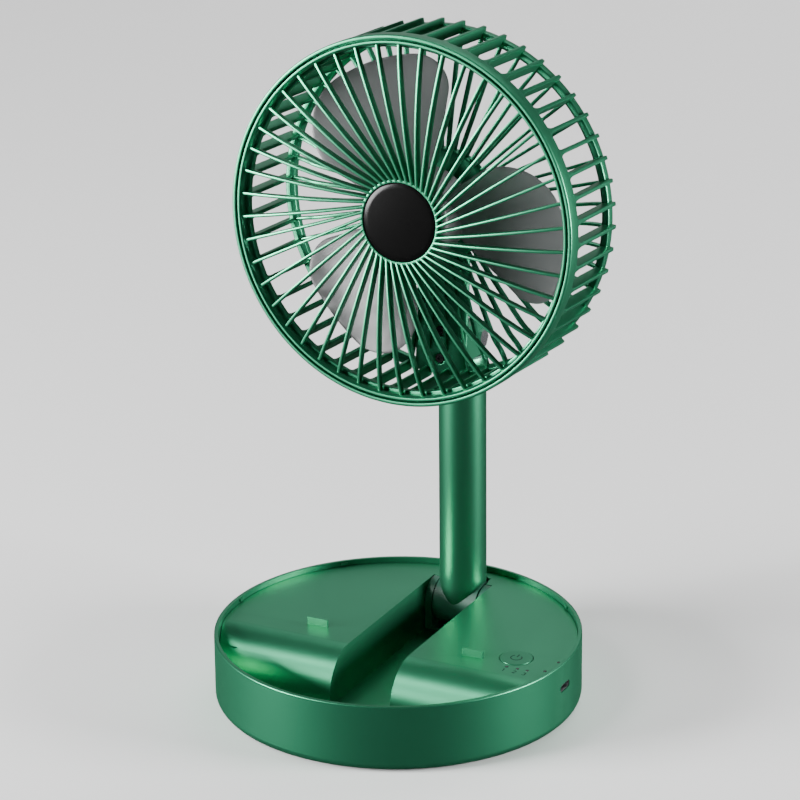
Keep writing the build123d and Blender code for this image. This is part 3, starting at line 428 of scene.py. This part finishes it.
def bar(lower: Array, upper: Array, half_width: Array, round_share: float = 0.35) -> Shell:
    """A bar with a rounded rectangular section, along its own x axis.

    At each station the section is a superellipse |y/w|^(2/e) + |z/h|^(2/e) = 1 between the lower and
    upper curves, where e is the round share, so its corners are soft and its sides nearly flat.

    Args:
        lower: Stations of the lower edge as (n, 2): distance and height.
        upper: Stations of the upper edge, with the same distances.
        half_width: Half width at each station.
        round_share: The e of the superellipse; lower is squarer.

    Returns:
        The bar, capped at both ends.
    """
    t = np.linspace(0, 2 * np.pi, BAR_SIDES, endpoint=False) + np.pi / BAR_SIDES
    across = np.sign(np.cos(t)) * np.abs(np.cos(t)) ** round_share
    along = np.sign(np.sin(t)) * np.abs(np.sin(t)) ** round_share
    middle, half = (lower[:, 1] + upper[:, 1]) / 2, (upper[:, 1] - lower[:, 1]) / 2
    grid = np.stack([np.broadcast_to(lower[:, :1], (len(lower), len(t))),
                     half_width[:, None] * across[None, :],
                     middle[:, None] + half[:, None] * along[None, :]], -1)
    return Shell.from_grid(grid, False, True, cap=True)


@dataclass(frozen=True)
class Seat:
    """A plane in the fan that local shells are set on."""

    origin: Array
    x: Array
    y: Array
    z: Array

    def place(self, shell: Shell) -> Shell:
        """Set a local shell on this plane; the result is in the fan's own millimetres."""
        return Shell(self.origin + shell.points @ np.stack([self.x, self.y, self.z]), shell.faces)


class Maker:
    """Turns shells into Blender pieces that ride on the CAD bodies."""

    def __init__(self, shop: PaintShop) -> None:
        """Keep the paint shop."""
        self.shop = shop

    def piece(self, name: str, shell: Shell, body: str, slot: str, finish: str | None = None,
              replaces: tuple[str, ...] = ()) -> bpy.types.Object:
        """Make a piece from a shell, dress it and let it ride.

        Args:
            name: Name of the piece.
            shell: Its surface in millimetres.
            body: CAD body that it moves with.
            slot: Recorded material slot.
            finish: Finish to use in place of the slot's own.
            replaces: CAD nodes that the piece stands for.

        Returns:
            The object.
        """
        mesh = bpy.data.meshes.new(name)
        mesh.from_pydata((shell.points * MM).tolist(), [], shell.faces)
        mesh.validate()
        mesh.polygons.foreach_set("use_smooth", np.ones(len(mesh.polygons), bool))
        self._outward(mesh)
        mesh.set_sharp_from_angle(angle=np.radians(SHARP_DEGREES))
        obj = bpy.data.objects.new(name, mesh)
        bpy.context.scene.collection.objects.link(obj)
        self.shop.dress(obj, finish or SLOT_FINISH[slot])
        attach(obj, body)
        if replaces:
            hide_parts(*replaces)
        LOG.info("%s: %d faces on %s", name, len(mesh.polygons), body)
        return obj

    @staticmethod
    def _outward(mesh: bpy.types.Mesh) -> None:
        """Make every island's faces point outwards."""
        work = bmesh.new()
        work.from_mesh(mesh)
        bmesh.ops.recalc_face_normals(work, faces=work.faces)
        work.to_mesh(mesh)
        work.free()


# ------------------------------------------------------------------------------ head


def head_seat() -> Seat:
    """The head's own plane, taken from the impeller's axis: x right, y up, z towards the front."""
    spin = next(joint for joint in frame["joints"] if joint["name"] == "impeller_spin")
    z = np.array(spin["axis"], float)
    z /= np.linalg.norm(z)
    x = np.array([1.0, 0.0, 0.0])
    return Seat(np.array(spin["pos_m"], float) / MM, x, np.cross(z, x), z)


@dataclass
class FrontGuard:
    """The grille: outer ring, swirled spokes and the hub dish.

    Sizes are in millimetres in the head's plane, with heights measured from the front seam.
    """

    spokes: int = 46
    first_turn: float = 3.9
    swirl_offset: float = 8.0
    hub_r: float = 19.0
    badge_r: float = 17.6
    ring_in: float = 77.4
    ring_out: float = 79.4
    ring_front: float = -0.1
    ring_back: float = -4.5
    spoke_half: float = 0.68
    dome_from: float = 17.0
    dome_span: float = 63.0
    dome_rise: float = 2.6
    hub_front: float = -0.8
    hub_back: float = -5.4
    dish_floor: float = -2.7
    dish_back: float = -4.4
    lip: float = 1.5

    def edges(self, radius: Array) -> tuple[Array, Array]:
        """Front and rear height of a spoke at a radius.

        With s the share of the way from the hub to the ring, the front edge is a dome of height
        -1 + rise * sin(pi s^0.9)^0.8 - s^6 and the rear edge follows it at a depth of 4.4 - 1.8 s^1.5, down
        to the hub ring's back at most.

        Args:
            radius: Distances from the axis.

        Returns:
            Heights of the front edge and of the rear edge.
        """
        s = np.clip((radius - self.dome_from) / self.dome_span, 0, 1)
        front = -1.0 + self.dome_rise * np.sin(np.pi * s**0.9) ** 0.8 - 1.0 * s**6
        depth = 4.4 - 1.8 * s**1.5
        return front, np.maximum(front - depth, self.hub_back)

    def spoke(self) -> Shell:
        """One spoke: a soft-cornered bar set off sideways from the axis so that the ring of them swirls."""
        start = np.sqrt(self.hub_r**2 - self.swirl_offset**2) - 1.0
        end = np.sqrt((self.ring_in + 0.6) ** 2 - self.swirl_offset**2)
        x = np.linspace(start, end, 30)
        front, rear = self.edges(np.hypot(x, self.swirl_offset))
        shell = bar(np.stack([x, rear], 1), np.stack([x, front], 1), np.full(len(x), self.spoke_half))
        shell.points[:, 1] -= self.swirl_offset
        return shell

    def build(self, maker: Maker, seat: Seat) -> None:
        """Make the grille and the badge."""
        ring = turned(rounded_loop(
            [(self.ring_out, self.ring_front), (self.ring_in + 0.9, self.ring_front), (self.ring_in, -1.8),
             (self.ring_in, self.ring_back), (self.ring_out, self.ring_back)],
            [0.3, 0.4, 0.6, 0.3, 0.2])[::-1])
        dish = turned(rounded_loop(
            [(self.hub_r, self.hub_front), (self.badge_r, self.hub_front), (self.badge_r, self.dish_floor),
             (2.0, self.dish_floor), (2.0, self.dish_back), (self.hub_r - self.lip, self.dish_back),
             (self.hub_r - self.lip, self.hub_back), (self.hub_r, self.hub_back)],
            [0.45, 0.3, 0.05, 0.1, 0.1, 0.1, 0.2, 0.3])[::-1], 128)
        angles = self.first_turn + 360 / self.spokes * np.arange(self.spokes)
        grille = Shell.join([ring, dish, self.spoke().repeated(turns(angles))])
        maker.piece("front_grille", seat.place(grille), "head", "green_paint", replaces=("front_guard",))
        radius = np.linspace(0.02, self.badge_r - 0.5, 9)
        face = np.stack([radius, -0.7 - 0.5 * (radius / self.badge_r) ** 2], 1)
        edge = np.array([(17.35, -1.35), (17.45, -1.6), (17.45, -2.6), (0.02, -2.6)])
        badge = turned(np.concatenate([face, edge]), 160)
        maker.piece("badge_disc", seat.place(badge), "head", "badge_black", replaces=("hub_badge",))


@dataclass
class DrumGuard:
    """The rear guard: front band, drum ribs, rear ring, dished spokes, hub plate and lower fairing."""

    fins: int = 50
    first_turn: float = -0.6
    band_in: float = 80.3
    band_out: float = 82.0
    band_back: float = -8.0
    ledge: float = -4.6
    fin_back: float = -48.1
    rear: float = -49.6
    ring_in: float = 75.5
    ring_out: float = 79.45
    ring_front: float = -44.6
    hub_r: float = 25.0
    hub_front: float = -40.5
    hub_back: float = -46.4
    ledge_r: float = 76.0
    fin_in: float = 76.5
    fin_out: float = 81.75
    fin_half: float = 0.98
    flare: float = 1.6
    flare_reach: float = 5.0
    fairing_half: float = 12.6
    fairing_low: float = -77.2
    fairing_high: float = -23.8
    fairing_front: float = -46.6
    fairing_crown: float = 2.45
    fairing_back: float = -47.35
    well_r: float = 2.25
    well_depth: float = 1.5
    screw_drops: tuple[float, float] = (-59.1, -72.0)

    def fin(self) -> Shell:
        """One drum rib: a bar along the axis that widens into the band.

        Over the last reach g from the band the half width grows by flare * (1 - sqrt(1 - (1 - g)^2)),
        which is a quarter of an ellipse.
        """
        z = np.concatenate([np.linspace(self.band_back + 0.6, self.band_back - 6.0, 10),
                            np.linspace(self.band_back - 9.0, self.fin_back + 0.5, 8), [self.fin_back]])
        gap = np.clip(self.band_back - z, 0, self.flare_reach) / self.flare_reach
        flare = self.flare * (1 - np.sqrt(np.clip(1 - (1 - gap) ** 2, 0, 1)))
        half = self.fin_half + flare
        half[-1] = 0.7
        inner = np.full(len(z), self.fin_in)
        outer = np.full(len(z), self.fin_out)
        outer[-1] -= 0.35
        shell = bar(np.stack([z, inner], 1), np.stack([z, outer], 1), half, 0.3)
        along, across, out = shell.points.T
        return Shell(np.stack([out, across, along], 1), shell.faces)

    def rear_spoke(self) -> Shell:
        """One rear spoke: a bar from the hub plate to the ring, dished forwards over its inner part."""
        x = np.array([23.6, 35.0, 50.0, 60.0, 64.0, 66.0, 68.0, 70.5, 73.0, 76.6])
        lift = 1 / (1 + np.exp(-(x - 68.0) / 1.6))
        rear = -45.5 - 2.9 * lift
        return bar(np.stack([x, rear], 1), np.stack([x, rear + 3.1], 1), np.full(len(x), 0.74))

    def fairing(self) -> Shell:
        """The lower fairing: a crowned panel with two screw wells, on a grid over its face.

        The height is the front plus crown * sqrt(1 - u^6), with u the share across, less a smooth step
        1 / (1 + exp((distance - well radius) / 0.12)) inside each well; a second grid closes the back.
        """
        u = np.sin(np.linspace(-1, 1, 71) * np.pi / 2)
        v = np.linspace(-1, 1, 201)
        low, high = self.fairing_low, self.fairing_high
        x, y = np.meshgrid(u * self.fairing_half, (low + high) / 2 + v * (high - low) / 2, indexing="ij")
        edge = (1 - np.abs(u[:, None]) ** 6) * np.ones_like(v)[None, :]
        face = self.fairing_front + self.fairing_crown * np.sqrt(np.clip(edge, 0, 1))
        for drop in self.screw_drops:
            well = 1 / (1 + np.exp((np.hypot(x, y - drop) - self.well_r) / 0.12))
            face = face - self.well_depth * well
        back = np.full_like(face, self.fairing_back)
        face[[0, -1]] = self.fairing_front - 0.1
        front_grid, back_grid = np.stack([x, y, face], -1), np.stack([x, y, back], -1)
        top, bottom = Shell.from_grid(front_grid, False, False), Shell.from_grid(back_grid, False, False)
        rim = np.concatenate([np.arange(len(v)), np.arange(1, len(u)) * len(v) + len(v) - 1,
                              (len(u) - 1) * len(v) + np.arange(len(v) - 2, -1, -1),
                              np.arange(len(u) - 2, 0, -1) * len(v)])
        count = len(top.points)
        walls = np.stack([rim, np.roll(rim, -1), np.roll(rim, -1) + count, rim + count], 1)
        faces = top.faces + [tuple(i + count for i in f) for f in bottom.faces]
        faces += [tuple(wall) for wall in walls.tolist()]
        return Shell(np.concatenate([top.points, bottom.points]), faces)

    def build(self, maker: Maker, seat: Seat) -> None:
        """Make the front band, the ribs and the rear grille."""
        band = turned(rounded_loop(
            [(self.band_out, 0.0), (self.band_in, 0.0), (self.band_in, self.ledge),
             (self.ledge_r, self.ledge), (self.ledge_r, self.band_back), (self.band_out, self.band_back)],
            [0.7, 0.35, 0.1, 0.6, 0.6, 0.9])[::-1], 256)
        ring = turned(rounded_loop(
            [(self.ring_out, self.ring_front), (self.ring_in + 1.6, self.ring_front),
             (self.ring_in, self.ring_front - 1.6), (self.ring_in, self.rear), (self.ring_out, self.rear)],
            [0.7, 0.5, 0.5, 0.6, 0.8])[::-1], 256)
        plate = turned(rounded_loop(
            [(self.hub_r, self.hub_front), (0.05, self.hub_front), (0.05, self.hub_front - 3.0),
             (self.hub_r - 2.0, self.hub_front - 3.0), (self.hub_r - 2.0, self.hub_back),
             (self.hub_r, self.hub_back)],
            [1.2, 0.02, 0.02, 0.2, 0.4, 0.6])[::-1], 128)
        angles = self.first_turn + 360 / self.fins * np.arange(self.fins)
        grille = Shell.join([ring, plate, self.rear_spoke().repeated(turns(angles)), self.fairing()])
        maker.piece("band_ring", seat.place(band), "head", "green_paint", replaces=("front_band",))
        ribs = self.fin().repeated(turns(angles))
        maker.piece("rib_cage", seat.place(ribs), "head", "green_paint", replaces=("drum_ribs",))
        maker.piece("rear_cage", seat.place(grille), "head", "green_paint", replaces=("rear_grille",))


@dataclass
class Impeller:
    """Three paddle blades on a capped hub, in the head's plane."""

    tip_r: float = 69.2
    hub_r: float = 19.2
    front: float = -8.0
    back: float = -32.0
    turns_deg: tuple[float, float, float] = (-5.0, 115.0, 235.0)
    lead: float = -33.0
    trail: float = 42.0
    lead_round: float = 14.0
    trail_round: float = 23.5
    mid: float = -22.5
    rise: float = 0.27
    thick: float = 1.7
    camber: float = 1.6
    tip_taper: float = 1.2

    def limit(self, radius: Array, edge: float, corner: float, sign: float) -> Array:
        """Angle of one edge at a radius: straight to the tip corner, then round its arc.

        On the arc the angle from the arc's centre line is acos((r^2 + d^2 - c^2) / (2 r d)), where d is the
        distance of the arc's centre from the axis and c is its radius.

        Args:
            radius: Distances from the axis.
            edge: Angle of the straight edge in degrees.
            corner: Radius of the corner.
            sign: 1 for the trailing edge, -1 for the leading edge.

        Returns:
            Angles in degrees.
        """
        d = self.tip_r - corner
        centre = edge - sign * np.degrees(np.arcsin(corner / d))
        swing = np.degrees(np.arccos(np.clip((radius**2 + d**2 - corner**2) / (2 * radius * d), -1, 1)))
        root = np.sqrt(d**2 - corner**2)
        return np.where(radius > root, centre + sign * swing, edge)

    def blade(self) -> Shell:
        """One blade: a twisted, lightly cambered paddle closed by its rounded rim.

        A point at share s across the chord (-1 to 1) and radius r has the angle between the two limits,
        the height mid + rise * angle - camber (1 - s^2), and half the thickness t (1 - s^12)^(1/2), which
        also closes at the tip.
        """
        radius = self.hub_r - 1.2 + (self.tip_r - self.hub_r + 1.2) * np.sin(np.linspace(0, np.pi / 2, 40))
        s = np.sin(np.linspace(-np.pi / 2, np.pi / 2, 60))
        low = self.limit(radius, self.lead, self.lead_round, -1.0)
        high = self.limit(radius, self.trail, self.trail_round, 1.0)
        angle = (low + high)[:, None] / 2 + (high - low)[:, None] / 2 * s[None, :]
        reach = np.broadcast_to(radius[:, None], angle.shape)
        middle = self.mid + self.rise * angle - self.camber * (1 - s[None, :] ** 2)
        out = np.clip((self.tip_r - reach) / self.tip_taper, 0, 1)
        half = self.thick / 2 * np.sqrt(np.clip(1 - s[None, :] ** 12, 0, 1)) * np.sqrt(1 - (1 - out) ** 2)
        a = np.radians(angle)
        flat = np.stack([reach * np.cos(a), reach * np.sin(a)], -1)
        top = np.concatenate([flat, (middle + half)[..., None]], -1)
        bottom = np.concatenate([flat, (middle - half)[..., None]], -1)
        loop = np.concatenate([top, bottom[:, -2:0:-1]], 1)
        return Shell.from_grid(loop, False, True, cap=True)

    def build(self, maker: Maker, seat: Seat) -> None:
        """Make the impeller in one piece."""
        hub = turned(rounded_loop([(self.hub_r, self.front), (0.05, self.front), (0.05, self.front - 2.0),
                                   (self.hub_r - 2.0, self.front - 2.0), (self.hub_r - 2.0, self.back),
                                   (self.hub_r, self.back)], [2.5, 0.02, 0.02, 1.0, 0.4, 0.5])[::-1], 128)
        fan = Shell.join([hub, self.blade().repeated(turns(np.array(self.turns_deg)))])
        maker.piece("paddle_impeller", seat.place(fan), "impeller", "grey_plastic", replaces=("impeller",))


# ------------------------------------------------------------------------------ column and base


@dataclass
class Column:
    """The tube: a round wall whose lower end is cut to sit over the hinge barrel."""

    outer: float = 10.9
    inner: float = 9.4
    barrel: float = 11.0

    def build(self, maker: Maker) -> None:
        """Make the tube as one closed loop of profile that is carried round the axis.

        At each angle the lower end stands at the height of a cylinder of the barrel's radius that lies
        along x: hinge + sqrt(barrel^2 - y^2).
        """
        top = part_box("column_tube")[1][2] / MM
        hinge = next(joint for joint in frame["joints"] if joint["name"] == "column_fold")
        hinge_y, hinge_z = hinge["pos_m"][1] / MM, hinge["pos_m"][2] / MM
        t = np.linspace(0, 2 * np.pi, 160, endpoint=False)[:, None]
        share = np.array([0.0, 0.004, 0.02, 0.3, 0.6, 0.98, 0.996, 1.0])
        outer = np.array([self.outer - 0.25, self.outer - 0.08, *[self.outer] * 4, self.outer - 0.08,
                          self.outer - 0.25])
        radius = np.concatenate([outer, np.full(len(share), self.inner)])[None, :]
        share = np.concatenate([share, share[::-1]])[None, :]
        x, y = radius * np.cos(t), radius * np.sin(t)
        foot = hinge_z + np.sqrt(np.clip(self.barrel**2 - y**2, 0, None))
        grid = np.stack([x, hinge_y + y, foot + (top - foot) * share], -1)
        tube = Shell.from_grid(grid, True, True)
        maker.piece("tube_skin", tube, "column", "green_metal", replaces=("column_tube",))


@dataclass
class Prints:
    """Marks printed on the deck and the button: speed numerals and the power sign."""

    height: float = 0.04
    line: float = 0.42
    sign_line: float = 0.6
    sign_r: float = 2.5
    numerals: tuple[tuple[int, float], ...] = ((1, 59.1), (2, 64.3), (3, 69.0))
    numeral_y: float = -14.6
    numeral_scale: float = 0.8
    pipe_proud: float = 0.1

    def stroke(self, path: Array, z: float, width: float) -> Shell:
        """A flat printed line: the path offset by half the width to each side, and given a thickness.

        Args:
            path: Points along the middle of the line as (n, 2).
            z: Height of the surface that carries it.
            width: Width of the line.

        Returns:
            The closed ribbon.
        """
        along = np.gradient(path, axis=0)
        along /= np.linalg.norm(along, axis=1)[:, None]
        side = np.stack([-along[:, 1], along[:, 0]], 1) * width / 2
        corners = np.stack([path + side, path - side, path - side, path + side], 1)
        heights = np.broadcast_to(np.array([z + self.height, z + self.height, z + 0.002, z + 0.002]),
                                  corners.shape[:2])
        return Shell.from_grid(np.concatenate([corners, heights[..., None]], -1), False, True, cap=True)

    @staticmethod
    def numeral(digit: int) -> Array:
        """Middle line of a numeral in a box 2 wide and 3 high, centred on the origin."""
        t = np.linspace(0, 1, 14)
        if digit == 1:
            return np.stack([np.interp(t, [0, 0.25, 1], [-0.5, 0.1, 0.1]),
                             np.interp(t, [0, 0.25, 1], [0.9, 1.5, -1.5])], 1)
        upper = np.radians(np.linspace(155, -35, 14))
        top = np.stack([0.85 * np.cos(upper), 0.68 + 0.82 * np.sin(upper)], 1)
        if digit == 2:
            return np.concatenate([top, [[-0.9, -1.45], [0.0, -1.45], [0.95, -1.45]]])
        upper = np.radians(np.linspace(150, -80, 14))
        lower = np.radians(np.linspace(80, -150, 14))
        return np.concatenate([np.stack([0.8 * np.cos(upper), 0.75 + 0.75 * np.sin(upper)], 1),
                               np.stack([0.9 * np.cos(lower), -0.72 + 0.8 * np.sin(lower)], 1)])

    def build(self, maker: Maker) -> None:
        """Print the numerals in front of their lights and the power sign on the button."""
        deck_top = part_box("light_pipes")[1][2] / MM - self.pipe_proud
        marks = []
        for digit, x in self.numerals:
            path = self.numeral(digit) * self.numeral_scale + np.array([x, self.numeral_y])
            marks.append(self.stroke(path, deck_top, self.line))
        maker.piece("speed_numerals", Shell.join(marks), "base", "clear_pipe", "ink")
        low, high = (np.array(corner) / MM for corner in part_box("power_button"))
        centre, top = (low[:2] + high[:2]) / 2, high[2]
        t = np.radians(np.linspace(130, 410, 40))
        arc = centre + self.sign_r * np.stack([np.cos(t), np.sin(t)], 1)
        bar_line = centre + np.array([[0.0, 0.7], [0.0, 2.0], [0.0, 3.4]])
        sign = Shell.join([self.stroke(line, top, self.sign_line) for line in (arc, bar_line)])
        maker.piece("power_sign", sign, "button", "clear_pipe", "ink")


# ------------------------------------------------------------------------------ studio


@dataclass
class Studio:
    """Floor, lights and camera."""

    azimuth: float = 0.474
    elevation: float = 0.361
    distance: float = 1.6146
    target: tuple[float, float, float] = (0.0, 0.0, 0.14125)
    lens: float = 165.97
    roll: float = -0.010
    shift: tuple[float, float] = (0.00524, -0.00116)
    paper: float = 0.86
    air: float = 0.05

    def floor(self) -> None:
        """A wide pale floor that curves up behind, as a sheet carried along its profile."""
        t = np.linspace(0, np.pi / 2, 24)
        y = np.concatenate([[-6.0], 2.5 + 1.2 * np.sin(t), [3.7]])
        z = np.concatenate([[0.0], 1.2 - 1.2 * np.cos(t), [4.0]])
        x = np.linspace(-6, 6, 3)
        grid = np.stack(np.broadcast_arrays(x[:, None], y[None, :], z[None, :]), -1)
        shell = Shell.from_grid(grid, False, False)
        mesh = bpy.data.meshes.new("studio_floor")
        mesh.from_pydata(shell.points.tolist(), [], shell.faces)
        mesh.polygons.foreach_set("use_smooth", np.ones(len(mesh.polygons), bool))
        obj = bpy.data.objects.new("studio_floor", mesh)
        bpy.context.scene.collection.objects.link(obj)
        paper = bpy.data.materials.new("pale_paper")
        paper.use_nodes = True
        shader = paper.node_tree.nodes["Principled BSDF"]
        shader.inputs["Base Color"].default_value = (self.paper, self.paper, self.paper, 1)
        shader.inputs["Roughness"].default_value = 0.9
        mesh.materials.append(paper)
        obj.visible_glossy = False

    @staticmethod
    def light(name: str, place: tuple[float, float, float], aim: tuple[float, float, float], size: float,
              power: float) -> None:
        """A square soft light at a place, turned to a point.

        Args:
            name: Name of the light.
            place: Where it stands, in metres.
            aim: Point that it faces.
            size: Side of the square.
            power: Watts.
        """
        lamp = bpy.data.lights.new(name, "AREA")
        lamp.shape = "SQUARE"
        lamp.size = size
        lamp.energy = power
        obj = bpy.data.objects.new(name, lamp)
        bpy.context.scene.collection.objects.link(obj)
        away = Vector(aim) - Vector(place)
        obj.matrix_world = Matrix.Translation(place) @ away.to_track_quat("-Z", "Y").to_matrix().to_4x4()

    def camera(self) -> None:
        """A long lens in front, to the right and above."""
        target = Vector(self.target)
        ca, sa = np.cos(self.azimuth), np.sin(self.azimuth)
        ce, se = np.cos(self.elevation), np.sin(self.elevation)
        away = Vector((sa * ce, -ca * ce, se)) * self.distance
        data = bpy.data.cameras.new("camera")
        data.lens = self.lens
        data.sensor_width = 36.0
        data.shift_x = self.shift[0]
        data.shift_y = self.shift[1]
        data.clip_end = 50.0
        obj = bpy.data.objects.new("camera", data)
        bpy.context.scene.collection.objects.link(obj)
        turn = (-away).to_track_quat("-Z", "Y").to_matrix().to_4x4() @ Matrix.Rotation(self.roll, 4, "Z")
        obj.matrix_world = Matrix.Translation(target + away) @ turn
        bpy.context.scene.camera = obj

    def build(self) -> None:
        """Set up the whole studio."""
        self.floor()
        self.light("left_softbox", (-1.38, -1.16, 0.40), (0, 0, 0.12), 0.8, 125)
        self.light("right_softbox", (1.60, 0.36, 0.28), (0, 0, 0.08), 0.7, 85)
        self.light("top_softbox", (-0.75, -0.85, 1.35), (0, 0, 0.05), 0.5, 9)
        self.light("rear_softbox", (-0.94, 1.83, 0.78), (0, 0, 0.03), 1.2, 1.9)
        self.light("back_light", (0.0, 1.9, 2.2), (0, 2.6, 0.6), 1.8, 50)
        world = bpy.data.worlds.new("studio_air")
        world.use_nodes = True
        world.node_tree.nodes["Background"].inputs["Color"].default_value = (0.95, 0.97, 1.0, 1)
        world.node_tree.nodes["Background"].inputs["Strength"].default_value = self.air
        bpy.context.scene.world = world
        self.camera()


def main() -> None:
    """Dress the frame, build every piece in order, then light and frame the shot."""
    logging.basicConfig(level=logging.INFO, format="%(name)s %(message)s")
    shop = PaintShop()
    shop.dress_frame()
    maker = Maker(shop)
    seat = head_seat()
    DrumGuard().build(maker, seat)
    FrontGuard().build(maker, seat)
    Impeller().build(maker, seat)
    Column().build(maker)
    Prints().build(maker)
    Studio().build()


if __name__ == "__main__":
    main()
